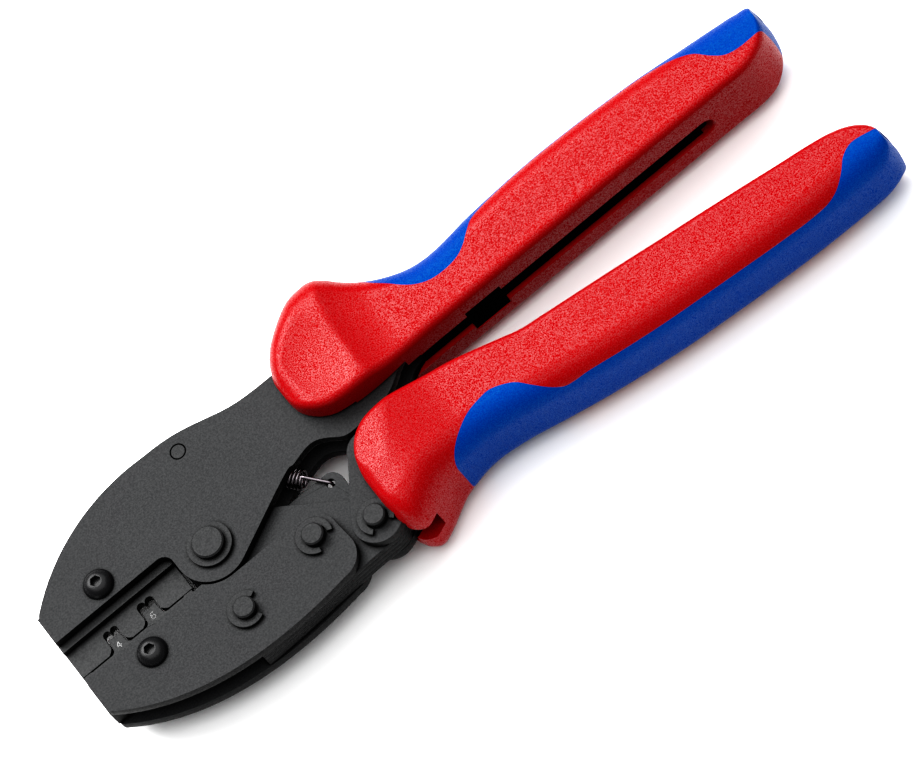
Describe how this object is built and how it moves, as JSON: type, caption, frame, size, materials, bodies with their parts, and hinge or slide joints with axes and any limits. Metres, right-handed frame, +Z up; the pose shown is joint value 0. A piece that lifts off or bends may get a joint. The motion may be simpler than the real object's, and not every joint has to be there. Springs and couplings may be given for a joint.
{
  "type": "ratchet crimping plier",
  "caption": "Hand crimping plier with a toggle-lever jaw, ratchet, screwed-in crimp dies and two-colour grips; shown closed.",
  "frame": {"origin": "centre of the bounding box in plan, at the lowest faces of the two grip heads, with the tool lying on its back", "axes": "+X from the jaws to the handle ends, +Y from the moving handle to the fixed handle, +Z up through the tool's thickness, towards the screw heads and clips"},
  "size_m": [0.2186, 0.0714, 0.026],
  "materials": {
    "plate_steel": "matte, dark burnished",
    "die_steel": "fine ground, satin",
    "pin_steel": "satin, dark",
    "clip_steel": "satin, black oxide",
    "screw_black": "gloss black oxide",
    "spring_steel": "bright wire",
    "red_plastic": "fine stipple",
    "blue_rubber": "matte, fine grain"
  },
  "bodies": {
    "frame": {"fixed_plate_front": "plate_steel", "fixed_plate_back": "plate_steel", "upper_die": "die_steel", "upper_die_screw": "screw_black", "upper_die_nut": "screw_black", "main_pivot_pin": "pin_steel", "main_pivot_clip": "clip_steel", "spring_anchor_pin": "pin_steel", "link_anchor_pin": "pin_steel", "fixed_handle_rivets": "pin_steel", "fixed_grip": "red_plastic", "fixed_grip_soft": "blue_rubber", "opening_spring": "spring_steel"},
    "jaw": {"jaw_plate_front": "plate_steel", "jaw_plate_back": "plate_steel", "jaw_lamination_1": "plate_steel", "jaw_lamination_2": "plate_steel", "jaw_lamination_3": "plate_steel", "jaw_lamination_4": "plate_steel", "lower_die": "die_steel", "lower_die_screw": "screw_black", "lower_die_nut": "screw_black", "jaw_pin_inner": "pin_steel", "jaw_pin_outer": "pin_steel", "jaw_pin_clips": "clip_steel"},
    "handle": {"handle_plate_front": "plate_steel", "handle_plate_back": "plate_steel", "handle_pivot_pin": "pin_steel", "handle_pivot_clip": "clip_steel", "toggle_pin": "pin_steel", "pawl_pin": "pin_steel", "pawl_spring_post": "pin_steel", "pawl_spring": "spring_steel", "moving_handle_rivets": "pin_steel", "moving_grip": "red_plastic", "moving_grip_soft": "blue_rubber"},
    "link": {"pressure_link": "plate_steel"},
    "pawl": {"ratchet_pawl": "plate_steel"}
  },
  "joints": [
    {"name": "jaw_pivot", "type": "hinge", "parent": "frame", "child": "jaw", "pos_m": [-0.06765, -0.00043, 0.013], "axis": [0, 0, 1], "range_deg": [0, 12], "deforming": ["opening_spring"]},
    {"name": "handle_pivot", "type": "hinge", "parent": "jaw", "child": "handle", "pos_m": [-0.03435, -0.02223, 0.013], "axis": [0, 0, 1], "range_deg": [-52.4, 0]},
    {"name": "link_pivot", "type": "hinge", "parent": "frame", "child": "link", "pos_m": [-0.01965, 0.00807, 0.013], "axis": [0, 0, 1], "range_deg": [0, 36.5]},
    {"name": "pawl_pivot", "type": "hinge", "parent": "handle", "child": "pawl", "pos_m": [-0.02113, -0.01793, 0.013], "axis": [0, 0, 1], "range_deg": [-20, 20], "stiffness_Nm_per_rad": 0.02}
  ],
  "couplings": [
    {"joint": "jaw_pivot", "follows": "handle_pivot", "ratio": -0.22891},
    {"joint": "link_pivot", "follows": "handle_pivot", "ratio": -0.69547}
  ]
}
